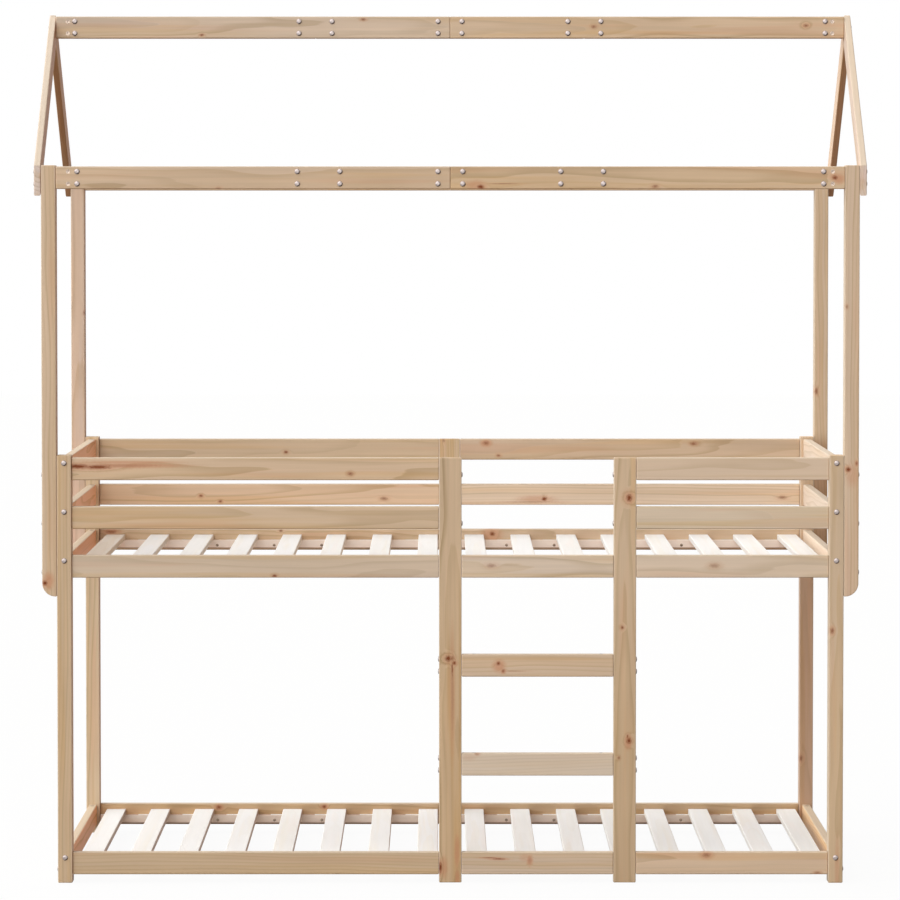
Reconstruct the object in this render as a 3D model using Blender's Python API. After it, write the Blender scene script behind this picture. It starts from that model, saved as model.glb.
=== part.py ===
"""House-shaped bunk bed of planed pine: two bunks, a ladder in the front side and an open roof frame.

Metres, +Z up. The origin is on the floor at the middle of the bed, and the ladder side faces -Y.
The boards are bolted together, so every board is its own piece, and touching boards keep a hairline gap.
"""

import math

import bmesh
import bpy
from mathutils import Vector

# Bed frame
CLEAR_LENGTH = 2.016
BED_DEPTH = 0.980
POST_WIDTH = 0.039
POST_DEPTH = 0.045
RAIL_THICKNESS = 0.022
RAIL_SETBACK = 0.006
RAIL_HEIGHT = 0.060
LOWER_RAIL_BOTTOM = 0.022
BUNK_RAIL_BOTTOM = 0.816
GUARD_PITCH = 0.130
CORNER_POST_RISE = 0.0065

# Ladder
LADDER_POST_WIDTH = 0.060
LADDER_OPENING = 0.405
RUNG_COUNT = 2

# Slatted bases
SLAT_WIDTH = 0.0555
SLAT_THICKNESS = 0.015
SLAT_PITCH = 0.1272
MIDDLE_SLAT_PITCH = 0.132
MIDDLE_SLATS_PER_HALF = 3
SLATS_SHIFT = 0.0048
SLAT_END_CLEARANCE = 0.001
SLAT_SEAT = 0.0005
SLAT_EDGE = 0.0015
CLEAT_DEPTH = 0.020
CLEAT_HEIGHT = 0.023
CLEAT_DROP = 0.0305
CLEAT_END_CLEARANCE = 0.002

# Roof frame
EAVE_HEIGHT = 1.913
APEX_HEIGHT = 2.332
ROOF_POST_FOOT_DROP = 0.050
ROOF_POST_FOOT_FLAT = 0.001
RAFTER_THICKNESS = 0.018
RAFTER_WIDTH = 0.062
BEAM_BOARD_THICKNESS = 0.020
BEAM_HEIGHT = 0.060
EAVE_BEAM_DROP = 0.003
RIDGE_BEAM_DROP = 0.005
EAVE_BACKING_JOINT = 0.3495
RIDGE_BACKING_JOINT = 0.3705

# Joinery and finish
BOARD_GAP = 0.0003
EDGE_RADIUS = 0.0025
EDGE_SEGMENTS = 2
SHARP_ANGLE = 30
FOOT_ARC_SEGMENTS = 8

# Linear colour of each wood, and one roughness for all of the planed boards
WOOD_COLOURS = {
    "post_pine": (0.60, 0.43, 0.28),
    "rail_pine": (0.62, 0.45, 0.30),
    "roof_pine": (0.61, 0.44, 0.29),
    "slat_pine": (0.76, 0.62, 0.46),
}
WOOD_ROUGHNESS = 0.55
WOOD_METALLIC = 0.0

# Places worked out from the sizes above
CORNER_INNER = CLEAR_LENGTH / 2
CORNER_OUTER = CORNER_INNER + POST_WIDTH
ROOF_POST_INNER = CORNER_OUTER + BOARD_GAP
ROOF_POST_OUTER = ROOF_POST_INNER + POST_WIDTH
RAFTER_INNER = ROOF_POST_OUTER + BOARD_GAP
FRONT = -BED_DEPTH / 2
REAR = BED_DEPTH / 2
RAIL_INNER_OFFSET = RAIL_SETBACK + RAIL_THICKNESS
END_RAIL_OUTER = CORNER_INNER + (POST_WIDTH + RAIL_THICKNESS) / 2
END_RAIL_INNER = END_RAIL_OUTER - RAIL_THICKNESS
GUARD_TOP = BUNK_RAIL_BOTTOM + 2 * GUARD_PITCH + RAIL_HEIGHT
LADDER_LEFT = (-LADDER_POST_WIDTH / 2, LADDER_POST_WIDTH / 2)
LADDER_RIGHT = (LADDER_LEFT[1] + LADDER_OPENING, LADDER_LEFT[1] + LADDER_OPENING + LADDER_POST_WIDTH)
RAIL_LEVELS = {
    "lower_rail": LOWER_RAIL_BOTTOM,
    "bunk_rail": BUNK_RAIL_BOTTOM,
    "mid_guard": BUNK_RAIL_BOTTOM + GUARD_PITCH,
    "top_guard": BUNK_RAIL_BOTTOM + 2 * GUARD_PITCH,
}
GUARD_LEVELS = ("mid_guard", "top_guard")
SIDES = {"left": -1, "right": 1}

# Start and end of the cleats of each half, front and rear alike: they stop at the corner posts and the middle
CLEAT_REACHES = {
    "left": (-CORNER_INNER, LADDER_LEFT[0]),
    "right": (LADDER_LEFT[1], CORNER_INNER),
}


def clear_scene():
    for obj in list(bpy.data.objects):
        bpy.data.objects.remove(obj, do_unlink=True)


def group(name, parent=None):
    """An empty that holds one sub-assembly."""
    empty = bpy.data.objects.new(name, None)
    bpy.context.scene.collection.objects.link(empty)
    empty.parent = parent
    return empty


def make_woods():
    for name, colour in WOOD_COLOURS.items():
        material = bpy.data.materials.new(name)
        material.use_nodes = True
        shader = material.node_tree.nodes["Principled BSDF"]
        shader.inputs["Base Color"].default_value = (*colour, 1)
        shader.inputs["Roughness"].default_value = WOOD_ROUGHNESS
        shader.inputs["Metallic"].default_value = WOOD_METALLIC


def mesh_object(name, mesh_data, place, parent, wood):
    mesh = bpy.data.meshes.new(name)
    mesh_data.to_mesh(mesh)
    mesh_data.free()
    obj = bpy.data.objects.new(name, mesh)
    bpy.context.scene.collection.objects.link(obj)
    obj.location = place
    obj.parent = parent
    mesh.materials.append(bpy.data.materials[wood])
    return obj


def round_edges(obj):
    """Rounds every edge sharper than an arc's own facets."""
    bevel = obj.modifiers.new("rounded_edges", "BEVEL")
    bevel.width = EDGE_RADIUS
    bevel.segments = EDGE_SEGMENTS
    bevel.limit_method = "ANGLE"
    bevel.angle_limit = math.radians(SHARP_ANGLE)
    obj.data.shade_smooth()
    obj.data.set_sharp_from_angle(angle=bevel.angle_limit)


def box_mesh(size):
    mesh_data = bmesh.new()
    bmesh.ops.create_cube(mesh_data, size=1)
    bmesh.ops.scale(mesh_data, vec=size, verts=mesh_data.verts)
    return mesh_data


def board(name, x_span, y_span, z_span, parent, wood):
    """A straight board between two values on each axis, with rounded edges."""
    low, high = (Vector(corner) for corner in zip(x_span, y_span, z_span))
    obj = mesh_object(name, box_mesh(high - low), (low + high) / 2, parent, wood)
    round_edges(obj)


def extruded(outline, direction):
    """A closed solid from an outline of points that is pushed along a direction."""
    mesh_data = bmesh.new()
    face = mesh_data.faces.new([mesh_data.verts.new(point) for point in outline])
    pushed = bmesh.ops.extrude_face_region(mesh_data, geom=[face])["geom"]
    new_verts = [item for item in pushed if isinstance(item, bmesh.types.BMVert)]
    bmesh.ops.translate(mesh_data, vec=direction, verts=new_verts)
    bmesh.ops.recalc_face_normals(mesh_data, faces=mesh_data.faces)
    return mesh_data


def mirrored(span, side):
    """The span on the positive side, or its mirror image, lowest value first."""
    return tuple(sorted(side * value for value in span))


def between(low, high, gap=BOARD_GAP):
    """The span of a board that fits between two faces with a gap at each end."""
    return (low + gap, high - gap)


def level_span(level):
    return (RAIL_LEVELS[level], RAIL_LEVELS[level] + RAIL_HEIGHT)


def side_span(row):
    """Depth of the rails, rungs and ladder posts in the front (-1) or rear (1) side: all are flush."""
    return mirrored((REAR - RAIL_INNER_OFFSET, REAR - RAIL_SETBACK), row)


def make_corner_posts(parent):
    for side_name, side in SIDES.items():
        for row_name, row in (("front", -1), ("rear", 1)):
            board(
                f"corner_post_{row_name}_{side_name}",
                mirrored((CORNER_INNER, CORNER_OUTER), side),
                mirrored((REAR - POST_DEPTH, REAR), row),
                (0, GUARD_TOP + CORNER_POST_RISE),
                parent,
                "post_pine",
            )


def make_ladder_posts(parent):
    spans = (("ladder_post_left", LADDER_LEFT, -1), ("ladder_post_right", LADDER_RIGHT, -1))
    for name, x_span, row in spans + (("rear_centre_post", LADDER_LEFT, 1),):
        board(name, x_span, side_span(row), (0, GUARD_TOP), parent, "post_pine")


def make_rungs(parent):
    step = (BUNK_RAIL_BOTTOM - LOWER_RAIL_BOTTOM) / (RUNG_COUNT + 1)
    x_span = between(LADDER_LEFT[1], LADDER_RIGHT[0])
    for count in range(1, RUNG_COUNT + 1):
        bottom = LOWER_RAIL_BOTTOM + count * step
        z_span = (bottom, bottom + RAIL_HEIGHT)
        board(f"ladder_rung_{count}", x_span, side_span(-1), z_span, parent, "rail_pine")


def make_front_rails(parents):
    bays = {
        "left": between(-CORNER_INNER, LADDER_LEFT[0]),
        "middle": between(LADDER_LEFT[1], LADDER_RIGHT[0]),
        "right": between(LADDER_RIGHT[1], CORNER_INNER),
    }
    for level in RAIL_LEVELS:
        for bay, x_span in bays.items():
            if bay == "middle" and level in GUARD_LEVELS:
                continue
            z_span = level_span(level)
            board(f"{level}_front_{bay}", x_span, side_span(-1), z_span, parents[level], "rail_pine")


def make_rear_rails(parents):
    for level in RAIL_LEVELS:
        for side_name, side in SIDES.items():
            x_span = mirrored(between(LADDER_LEFT[1], CORNER_INNER), side)
            z_span = level_span(level)
            board(f"{level}_rear_{side_name}", x_span, side_span(1), z_span, parents[level], "rail_pine")


def make_end_rails(parents):
    y_span = between(FRONT + POST_DEPTH, REAR - POST_DEPTH)
    for level in RAIL_LEVELS:
        for side_name, side in SIDES.items():
            x_span = mirrored((END_RAIL_INNER, END_RAIL_OUTER), side)
            board(f"{level}_end_{side_name}", x_span, y_span, level_span(level), parents[level], "rail_pine")


def slat_centres(side):
    """Middles of the slats of one half, from the middle of the bed outward. The middle ones stand wider apart."""
    centres = [(count + 0.5) * MIDDLE_SLAT_PITCH for count in range(MIDDLE_SLATS_PER_HALF)]
    farthest = CORNER_INNER - SLAT_WIDTH / 2 - abs(SLATS_SHIFT)
    while centres[-1] + SLAT_PITCH < farthest:
        centres.append(centres[-1] + SLAT_PITCH)
    return [side * centre + SLATS_SHIFT for centre in centres]


def slat(name, centre, reach, z_span, parent):
    """One slat across the bed, with its long edges eased."""
    size = Vector((SLAT_WIDTH, 2 * reach, z_span[1] - z_span[0]))
    mesh_data = box_mesh(size)
    long_edges = [edge for edge in mesh_data.edges if abs(edge.verts[0].co.y - edge.verts[1].co.y) > reach]
    bmesh.ops.bevel(mesh_data, geom=long_edges, offset=SLAT_EDGE, segments=1, affect="EDGES")
    place = (centre, 0, (z_span[0] + z_span[1]) / 2)
    obj = mesh_object(name, mesh_data, place, parent, "slat_pine")
    obj.hide_render = True
    obj.display_type = "WIRE"
    return obj


def cleats(name, x_reach, z_span, parent):
    """The bearers along the rails of one half as one mesh of loose bars, which the slats then join."""
    mesh_data = bmesh.new()
    x_span = between(*x_reach, CLEAT_END_CLEARANCE)
    outer = REAR - RAIL_INNER_OFFSET - BOARD_GAP
    for row in (-1, 1):
        y_span = mirrored((outer - CLEAT_DEPTH, outer), row)
        low, high = (Vector(corner) for corner in zip(x_span, y_span, z_span))
        bar = bmesh.ops.create_cube(mesh_data, size=1)["verts"]
        bmesh.ops.scale(mesh_data, vec=high - low, verts=bar)
        bmesh.ops.translate(mesh_data, vec=(low + high) / 2, verts=bar)
    return mesh_object(name, mesh_data, (0, 0, 0), parent, "slat_pine")


def make_slat_base(name, side_name, rail_level, parent):
    """One half of a bunk's base: slats screwed down on the cleats inside the rails, joined into one piece."""
    cleat_top = level_span(rail_level)[1] - CLEAT_DROP
    base = cleats(name, CLEAT_REACHES[side_name], (cleat_top - CLEAT_HEIGHT, cleat_top), parent)
    reach = REAR - RAIL_INNER_OFFSET - SLAT_END_CLEARANCE
    slats = bpy.data.collections.new(name + "_slats")
    bpy.context.scene.collection.children.link(slats)
    for count, centre in enumerate(slat_centres(SIDES[side_name]), start=1):
        z_span = (cleat_top - SLAT_SEAT, cleat_top + SLAT_THICKNESS)
        piece = slat(f"{name}_slat_{count}", centre, reach, z_span, parent)
        bpy.context.scene.collection.objects.unlink(piece)
        slats.objects.link(piece)
    slats.hide_render = True
    joined = base.modifiers.new("slats_joined", "BOOLEAN")
    joined.operation = "UNION"
    joined.operand_type = "COLLECTION"
    joined.collection = slats
    joined.solver = "EXACT"


def roof_post_outline(side):
    """Front view of a roof post from its foot up: the foot's outer corner is a quarter round."""
    foot = BUNK_RAIL_BOTTOM - ROOF_POST_FOOT_DROP
    radius = POST_WIDTH - EDGE_RADIUS - ROOF_POST_FOOT_FLAT
    arc_x = ROOF_POST_OUTER - radius
    points = [(ROOF_POST_INNER, foot)]
    for count in range(FOOT_ARC_SEGMENTS + 1):
        angle = math.pi / 2 * count / FOOT_ARC_SEGMENTS
        points.append((arc_x + radius * math.sin(angle), foot + radius * (1 - math.cos(angle))))
    points += [(ROOF_POST_OUTER, EAVE_HEIGHT), (ROOF_POST_INNER, EAVE_HEIGHT)]
    return [(side * x, 0, z) for x, z in points]


def make_roof_posts(parent):
    for side_name, side in SIDES.items():
        for row_name, start in (("front", FRONT), ("rear", REAR - POST_DEPTH)):
            mesh_data = extruded(roof_post_outline(side), (0, POST_DEPTH, 0))
            name = f"roof_post_{row_name}_{side_name}"
            post = mesh_object(name, mesh_data, (0, start, 0), parent, "post_pine")
            round_edges(post)


def make_rafters(parent):
    """Each rafter is plumb cut at the eave and at the ridge, where it meets its partner."""
    run = BED_DEPTH / 2 - BOARD_GAP / 2
    rise = (APEX_HEIGHT - EAVE_HEIGHT) * run / (BED_DEPTH / 2)
    plumb = RAFTER_WIDTH / math.cos(math.atan2(rise, run))
    for side_name, side in SIDES.items():
        for row_name, row in (("front", -1), ("rear", 1)):
            eave, ridge = row * REAR, row * (REAR - run)
            outline = [
                (0, eave, EAVE_HEIGHT - plumb),
                (0, ridge, EAVE_HEIGHT + rise - plumb),
                (0, ridge, EAVE_HEIGHT + rise),
                (0, eave, EAVE_HEIGHT),
            ]
            mesh_data = extruded(outline, (side * RAFTER_THICKNESS, 0, 0))
            name = f"rafter_{row_name}_{side_name}"
            rafter = mesh_object(name, mesh_data, (side * RAFTER_INNER, 0, 0), parent, "roof_pine")
            round_edges(rafter)


def make_layer(name, joints, y_span, top, parent):
    """One layer of a beam: boards end to end, with the beam's two ends first and last among the joints."""
    z_span = (top - BEAM_HEIGHT, top)
    places = ("left", "middle", "right") if len(joints) > 3 else ("left", "right")
    for place, low, high in zip(places, joints[:-1], joints[1:]):
        x_span = between(low, high, BOARD_GAP / 2)
        board(f"{name}_{place}", x_span, y_span, z_span, parent, "roof_pine")


def make_eave_beams(parent):
    """Each lies between the roof posts, flush with their outer faces. The rear backing is one board here."""
    half = ROOF_POST_INNER - BOARD_GAP / 2
    top = EAVE_HEIGHT - EAVE_BEAM_DROP
    face = (REAR - BEAM_BOARD_THICKNESS, REAR)
    backing = (face[0] - BOARD_GAP - BEAM_BOARD_THICKNESS, face[0] - BOARD_GAP)
    front_joints = (-half, -EAVE_BACKING_JOINT, EAVE_BACKING_JOINT, half)
    make_layer("front_eave_beam_face", (-half, 0, half), mirrored(face, -1), top, parent)
    make_layer("front_eave_beam_backing", front_joints, mirrored(backing, -1), top, parent)
    make_layer("rear_eave_beam_face", (-half, 0, half), face, top, parent)
    x_span = between(-half, half, BOARD_GAP / 2)
    z_span = (top - BEAM_HEIGHT, top)
    board("rear_eave_beam_backing", x_span, backing, z_span, parent, "roof_pine")


def make_ridge_beam(parent):
    """It lies under the apex, between the inner faces of the rafters."""
    half = RAFTER_INNER - BOARD_GAP / 2
    top = APEX_HEIGHT - RIDGE_BEAM_DROP
    backing = (BOARD_GAP / 2, BOARD_GAP / 2 + BEAM_BOARD_THICKNESS)
    backing_joints = (-half, -RIDGE_BACKING_JOINT, RIDGE_BACKING_JOINT, half)
    make_layer("ridge_beam_face", (-half, 0, half), mirrored(backing, -1), top, parent)
    make_layer("ridge_beam_backing", backing_joints, backing, top, parent)


def main():
    clear_scene()
    make_woods()
    bed = group("bunk_bed")
    frame = group("post_frame", bed)
    ladder = group("ladder", bed)
    lower_bunk = group("lower_bunk", bed)
    upper_bunk = group("upper_bunk", bed)
    roof = group("roof_frame", bed)
    rail_parents = {level: lower_bunk if level == "lower_rail" else upper_bunk for level in RAIL_LEVELS}
    make_corner_posts(frame)
    make_ladder_posts(ladder)
    make_rungs(ladder)
    make_front_rails(rail_parents)
    make_rear_rails(rail_parents)
    make_end_rails(rail_parents)
    for side_name in SIDES:
        make_slat_base(f"lower_slat_base_{side_name}", side_name, "lower_rail", lower_bunk)
        make_slat_base(f"upper_slat_base_{side_name}", side_name, "bunk_rail", upper_bunk)
    make_roof_posts(roof)
    make_rafters(roof)
    make_eave_beams(roof)
    make_ridge_beam(roof)


main()
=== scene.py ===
"""Dresses a pine bunk bed with a roof frame: grain, knots, bolt heads, barrel nuts, floor, light and camera.

Everything is in metres in the bed's own frame: +Z up, the ladder side faces -Y, the origin is on the floor
at the middle of the bed.
"""

import math
import random

import bpy
from bpy.props import FloatProperty, FloatVectorProperty, IntProperty, PointerProperty
from mathutils import Euler, Matrix, Vector


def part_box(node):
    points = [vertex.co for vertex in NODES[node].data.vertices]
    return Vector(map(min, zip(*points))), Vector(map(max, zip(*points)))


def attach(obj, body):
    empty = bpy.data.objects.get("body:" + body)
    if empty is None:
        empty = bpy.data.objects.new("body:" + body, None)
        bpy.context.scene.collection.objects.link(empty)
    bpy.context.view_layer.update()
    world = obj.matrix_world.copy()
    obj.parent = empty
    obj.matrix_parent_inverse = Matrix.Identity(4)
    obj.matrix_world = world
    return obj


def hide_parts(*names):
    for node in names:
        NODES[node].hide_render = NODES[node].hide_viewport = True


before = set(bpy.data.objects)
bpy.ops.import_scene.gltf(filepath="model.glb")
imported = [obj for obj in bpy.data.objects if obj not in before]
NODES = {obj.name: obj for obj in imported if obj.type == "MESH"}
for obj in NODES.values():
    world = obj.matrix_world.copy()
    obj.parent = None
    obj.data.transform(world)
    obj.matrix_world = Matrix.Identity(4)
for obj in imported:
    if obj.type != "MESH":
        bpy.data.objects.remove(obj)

bl_info = {
    "name": "House bunk bed finish",
    "version": (1, 0, 0),
    "blender": (4, 5, 0),
    "location": "3D View > Sidebar > Bunk Bed",
    "description": "Grain, knots, fittings, floor, light and camera for a pine bunk bed with a roof frame",
    "category": "Object",
}

SIDES = {"left": -1, "right": 1}
ROWS = {"front": -1, "rear": 1}
LEVELS = ("lower_rail", "bunk_rail", "mid_guard", "top_guard")
GUARDS = LEVELS[2:]
RUNGS = ("ladder_rung_1", "ladder_rung_2")

# Boards whose grain runs upright or up the slope, by the start of the node's name
GRAIN_AXES = {
    **dict.fromkeys(("corner_post", "roof_post", "ladder_post", "rear_centre_post"), "Z"),
    "rafter": "SLOPE",
}

# Lightness, warmth and redness of single boards, as shares of the plain tone. Partly tone that differs from
# board to board and partly painted light and shade: the right end rails and the front rafters are made lighter
# as painted light, and the rear lower rails darker as painted shade.
TONE_AND_LIGHT_SHARES = {
    "bunk_rail_end_left": (1.12, 0.0, 0.1),
    "mid_guard_end_left": (1.12, 0.0, 0.1),
    "top_guard_end_left": (1.12, 0.0, 0.1),
    "lower_rail_end_left": (1.12, 0.6, 0.10),
    "lower_rail_end_right": (1.30, 0.45, 0.15),
    "bunk_rail_end_right": (1.48, -0.5, -0.25),
    "mid_guard_end_right": (1.28, -0.5, -0.2),
    "top_guard_end_right": (1.28, -0.5, -0.2),
    "rafter_front_left": (1.18, -0.9, -0.15),
    "rafter_front_right": (1.18, -0.9, -0.15),
    "rafter_rear_right": (1.16, -0.5, 0.0),
    "ridge_beam_face_left": (1.08, -0.48, -0.14),
    "roof_post_rear_left": (1.13, -0.76, -0.02),
    "corner_post_front_left": (0.94, 0.10, 0.0),
    "corner_post_front_right": (0.95, 0.08, 0.0),
    "corner_post_rear_left": (1.12, -0.06, -0.14),
    "corner_post_rear_right": (1.03, -0.20, 0.0),
    "ladder_post_left": (0.965, 0.0, 0.0),
    "ladder_post_right": (0.95, 0.06, 0.0),
    "ladder_rung_1": (1.14, -0.45, -0.22),
    "ladder_rung_2": (0.98, -0.10, 0.0),
    "rear_centre_post": (0.94, 0.20, 0.0),
    "top_guard_front_right": (1.08, -0.30, -0.08),
    "mid_guard_front_right": (1.09, -0.35, -0.22),
    "bunk_rail_front_left": (1.04, -0.35, -0.15),
    "bunk_rail_front_middle": (1.13, -0.40, -0.17),
    "bunk_rail_front_right": (1.12, -0.30, -0.14),
    "lower_rail_front_left": (0.93, 0.16, 0.0),
    "lower_rail_front_middle": (1.02, -0.36, -0.10),
    "mid_guard_front_left": (0.98, 0.05, 0.0),
    "top_guard_rear_left": (0.98, -0.17, -0.08),
    "top_guard_rear_right": (0.94, -0.10, 0.0),
    "mid_guard_rear_left": (1.13, 0.0, 0.10),
    "mid_guard_rear_right": (1.19, -0.30, -0.1),
    "lower_rail_rear_left": (0.86, 0.35, 0.15),
    "lower_rail_rear_right": (0.86, 0.35, 0.15),
}

# How strongly the grain of single boards shows, as a share of the usual
FIGURE_SHARES = {
    "ladder_post_left": 1.5,
    "ladder_rung_1": 0.45,
    "top_guard_front_right": 0.6,
    "bunk_rail_front_right": 0.75,
    "lower_rail_front_left": 0.7,
    "lower_rail_front_middle": 0.8,
}

# Where the heart of the log lay for boards with straight grain, across and behind the broad face
PITHS = {"ladder_rung_1": (0, 0.09, 0.03)}

# Knots as (along the grain, across it, radius, stretch along the grain, halo share, heart share), by node,
# in metres. A knot with no heart share is only a reddish streak.
KNOTS = {
    "ridge_beam_face_left": ((-0.239, 2.319, 0.003, 2.0, 0.5, 0.7), (-0.684, 2.276, 0.003, 1.6, 0.5, 0.8)),
    "ridge_beam_face_right": ((0.396, 2.299, 0.004, 1.5, 0.4, 0.6), (0.981, 2.302, 0.004, 1.5, 0.5, 0.7)),
    "front_eave_beam_face_left": ((-0.615, 1.85, 0.004, 1.6, 0.3, 0.5),),
    "front_eave_beam_face_right": (
        (0.08, 1.856, 0.0045, 1.7, 0.9, 1.0), (0.068, 1.861, 0.0055, 2.4, 0.8, 0.0),
        (0.14, 1.864, 0.0012, 28.0, 0.3, 0.5), (0.543, 1.857, 0.004, 1.8, 0.4, 0.6),
        (1.02, 1.88, 0.005, 1.2, 0.9, 0.9), (1.03, 1.876, 0.006, 1.2, 1.0, 0.0),
    ),
    "roof_post_front_left": ((0.802, -1.079, 0.0058, 1.0, 1.0, 1.0), (0.808, -1.069, 0.0066, 1.6, 1.0, 0.0)),
    "roof_post_front_right": (
        (1.105, 1.058, 0.0055, 1.0, 1.0, 1.0), (1.121, 1.08, 0.003, 1.5, 0.9, 0.7),
        (1.09, 1.068, 0.008, 1.8, 0.6, 0.0), (1.538, 1.053, 0.003, 1.6, 0.4, 0.5),
    ),
    "roof_post_rear_left": ((1.499, -1.049, 0.003, 2.0, 0.3, 0.5),),
    "roof_post_rear_right": ((1.274, 1.053, 0.004, 2.0, 0.6, 0.7),),
    "top_guard_front_left": (
        (-0.992, 1.1128, 0.005, 5.5, 1.0, 1.0), (-0.938, 1.1112, 0.0044, 6.5, 1.0, 0.95),
        (-0.95, 1.114, 0.0066, 8.0, 0.6, 0.0), (-0.87, 1.115, 0.0034, 22.0, 1.0, 0.2),
        (-0.86, 1.124, 0.0016, 40.0, 0.9, 0.0), (-0.266, 1.093, 0.004, 1.5, 0.5, 0.7),
    ),
    "top_guard_rear_left": ((-0.471, 1.098, 0.0035, 1.6, 0.4, 0.9),),
    "top_guard_rear_right": (
        (0.105, 1.124, 0.005, 1.6, 0.9, 0.6), (0.141, 1.088, 0.003, 1.6, 0.5, 0.7),
        (0.702, 1.122, 0.004, 2.0, 0.5, 0.7),
    ),
    "rear_centre_post": ((1.131, -0.017, 0.003, 1.6, 0.2, 0.5),),
    "mid_guard_rear_left": (
        (-0.716, 0.972, 0.0034, 1.3, 0.8, 0.8), (-0.66, 0.956, 0.003, 1.4, 0.8, 0.8),
        (-0.189, 0.964, 0.004, 2.2, 0.5, 0.6),
    ),
    "mid_guard_rear_right": (
        (0.273, 0.963, 0.0045, 1.5, 0.9, 1.0), (0.25, 0.962, 0.005, 5.0, 0.7, 0.0),
        (0.236, 0.954, 0.0011, 50.0, 0.6, 0.6), (0.958, 0.967, 0.004, 2.6, 0.4, 0.6),
    ),
    "bunk_rail_rear_left": ((-0.975, 0.868, 0.0045, 3.0, 0.9, 0.6), (-0.486, 0.871, 0.003, 1.6, 0.3, 0.8)),
    "bunk_rail_rear_right": ((0.123, 0.862, 0.0052, 1.2, 1.0, 0.9), (0.121, 0.86, 0.01, 1.4, 0.8, 0.0)),
    "lower_rail_rear_left": ((-0.666, 0.071, 0.0045, 1.4, 1.0, 0.9), (-0.362, 0.0725, 0.0045, 1.3, 1.0, 0.9)),
    "bunk_rail_front_left": ((-0.468, 0.821, 0.0036, 1.6, 0.4, 0.9),),
    "bunk_rail_front_middle": ((0.109, 0.848, 0.0048, 2.2, 0.3, 0.45), (0.155, 0.85, 0.002, 12.0, 0.0, 0.15)),
    "bunk_rail_front_right": ((0.703, 0.848, 0.005, 2.2, 0.3, 0.4),),
    "ladder_post_left": (
        (0.6, -0.006, 0.0068, 1.1, 0.6, 1.0), (0.601, 0.006, 0.0048, 1.1, 0.6, 0.5),
        (0.588, 0.0105, 0.0042, 1.0, 0.9, 0.9), (0.572, 0.005, 0.0018, 9.0, 0.4, 0.8),
        (0.5, 0.006, 0.003, 26.0, 0.6, 0.25), (0.041, -0.027, 0.0045, 2.4, 1.0, 1.0),
        (0.041, -0.017, 0.0045, 3.0, 0.8, 0.0), (0.083, 0.018, 0.003, 7.0, 0.9, 0.0),
        (0.012, 0.019, 0.0028, 4.0, 0.9, 0.0),
    ),
    "ladder_post_right": (
        (1.029, 0.476, 0.0065, 1.3, 1.0, 1.0), (1.029, 0.474, 0.009, 1.2, 0.5, 0.0),
        (0.683, 0.458, 0.0034, 1.2, 0.5, 0.9), (0.38, 0.4765, 0.0056, 1.2, 0.6, 1.0),
        (0.392, 0.4725, 0.0024, 1.6, 0.5, 0.7), (0.378, 0.4745, 0.0044, 2.2, 1.0, 0.0),
        (0.334, 0.449, 0.003, 1.2, 0.4, 0.6),
    ),
    "ladder_rung_1": ((0.071, 0.344, 0.0024, 1.8, 0.6, 0.35), (0.05, 0.336, 0.0045, 2.0, 0.3, 0.0)),
    "ladder_rung_2": (
        (0.128, 0.587, 0.0045, 1.0, 1.0, 0.9), (0.141, 0.567, 0.0038, 1.0, 1.0, 0.7),
        (0.13, 0.58, 0.008, 1.0, 1.0, 0.0), (0.168, 0.5665, 0.0012, 22.0, 0.3, 0.35),
    ),
    "lower_rail_front_middle": (
        (0.212, 0.06, 0.007, 0.6, 1.0, 0.2), (0.2, 0.067, 0.005, 1.4, 0.5, 0.0),
        (0.105, 0.0665, 0.0012, 14.0, 0.9, 0.55), (0.129, 0.0635, 0.0016, 9.0, 1.0, 0.8),
    ),
    "lower_rail_front_right": ((0.684, 0.074, 0.0055, 1.6, 0.8, 0.5), (0.98, 0.026, 0.003, 2.2, 0.6, 0.5)),
    "corner_post_front_right": ((0.675, 1.017, 0.0042, 1.6, 0.7, 0.7), (0.04, 1.032, 0.0028, 14.0, 0.6, 0.0)),
    "corner_post_rear_right": ((0.215, 1.013, 0.004, 1.8, 0.4, 0.6),),
}

# Sizes of the bed that the fittings and the grain follow, in metres
SLAT_PITCH = 0.1272
MIDDLE_SLAT_PITCH = 0.132
MIDDLE_SLATS_PER_HALF = 3
SLATS_SHIFT = 0.0048
SLAT_WIDTH = 0.0555
SLAT_THICKNESS = 0.015
CLEAT_REACH = 0.0203
CLEAT_HEIGHT = 0.023
RAFTER_WIDTH = 0.062
EDGE_RADIUS = 0.0025
EDGE_SEGMENTS = 2
SLOPE_TRIES = 8

# Places of the fittings, in metres from an edge, an end or the middle of the bed
RAIL_BOLT_INSET = 0.0145
BEAM_BOLT_OFFSETS = (-0.0163, 0.0163)
BEAM_BOLT_SET_BACK = 0.010
RIDGE_BOLT_OUT = 0.010
RIDGE_COLUMNS = (0.033, 0.325, 0.416, 1.034)
EAVE_COLUMNS = (0.033, 0.293, 0.406, 0.990)
NUT_INSET = 0.033
SCREW_DROP = 0.0448
SCREW_COLUMNS = (-0.668, -0.5045, -0.368, 0.1635, 0.3005, 0.6665)

# Shapes of the fittings, in metres, degrees and shares of their radius or height
HEAD_SIDES = 28
HEAD_BASE_SHARE = 0.22
HEAD_TURNS = (0, 18, 34, 48, 60, 70)
SOCKET_SIDES = 6
SCREW_HEIGHT_SHARE = 0.45
SCREW_SOCKET_SHARE = 0.35
NUT_SIDES = 24
NUT_THICKNESS = 0.0008
NUT_RISE = 0.00015
NUT_RIM_SHARE = 0.14
NUT_FACE_RISE = 0.0003
NUT_FACE_DIP = 0.0002
SLOT_LENGTH_SHARE = 1.5
SLOT_WIDTH = 0.0011
SLOT_HEIGHT = 0.0012
SLOT_BEVEL = 0.0002
SMOOTH_ANGLE = math.radians(32)
FACING_UP = 0.9  # least upward part of the normal of a face on top
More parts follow.
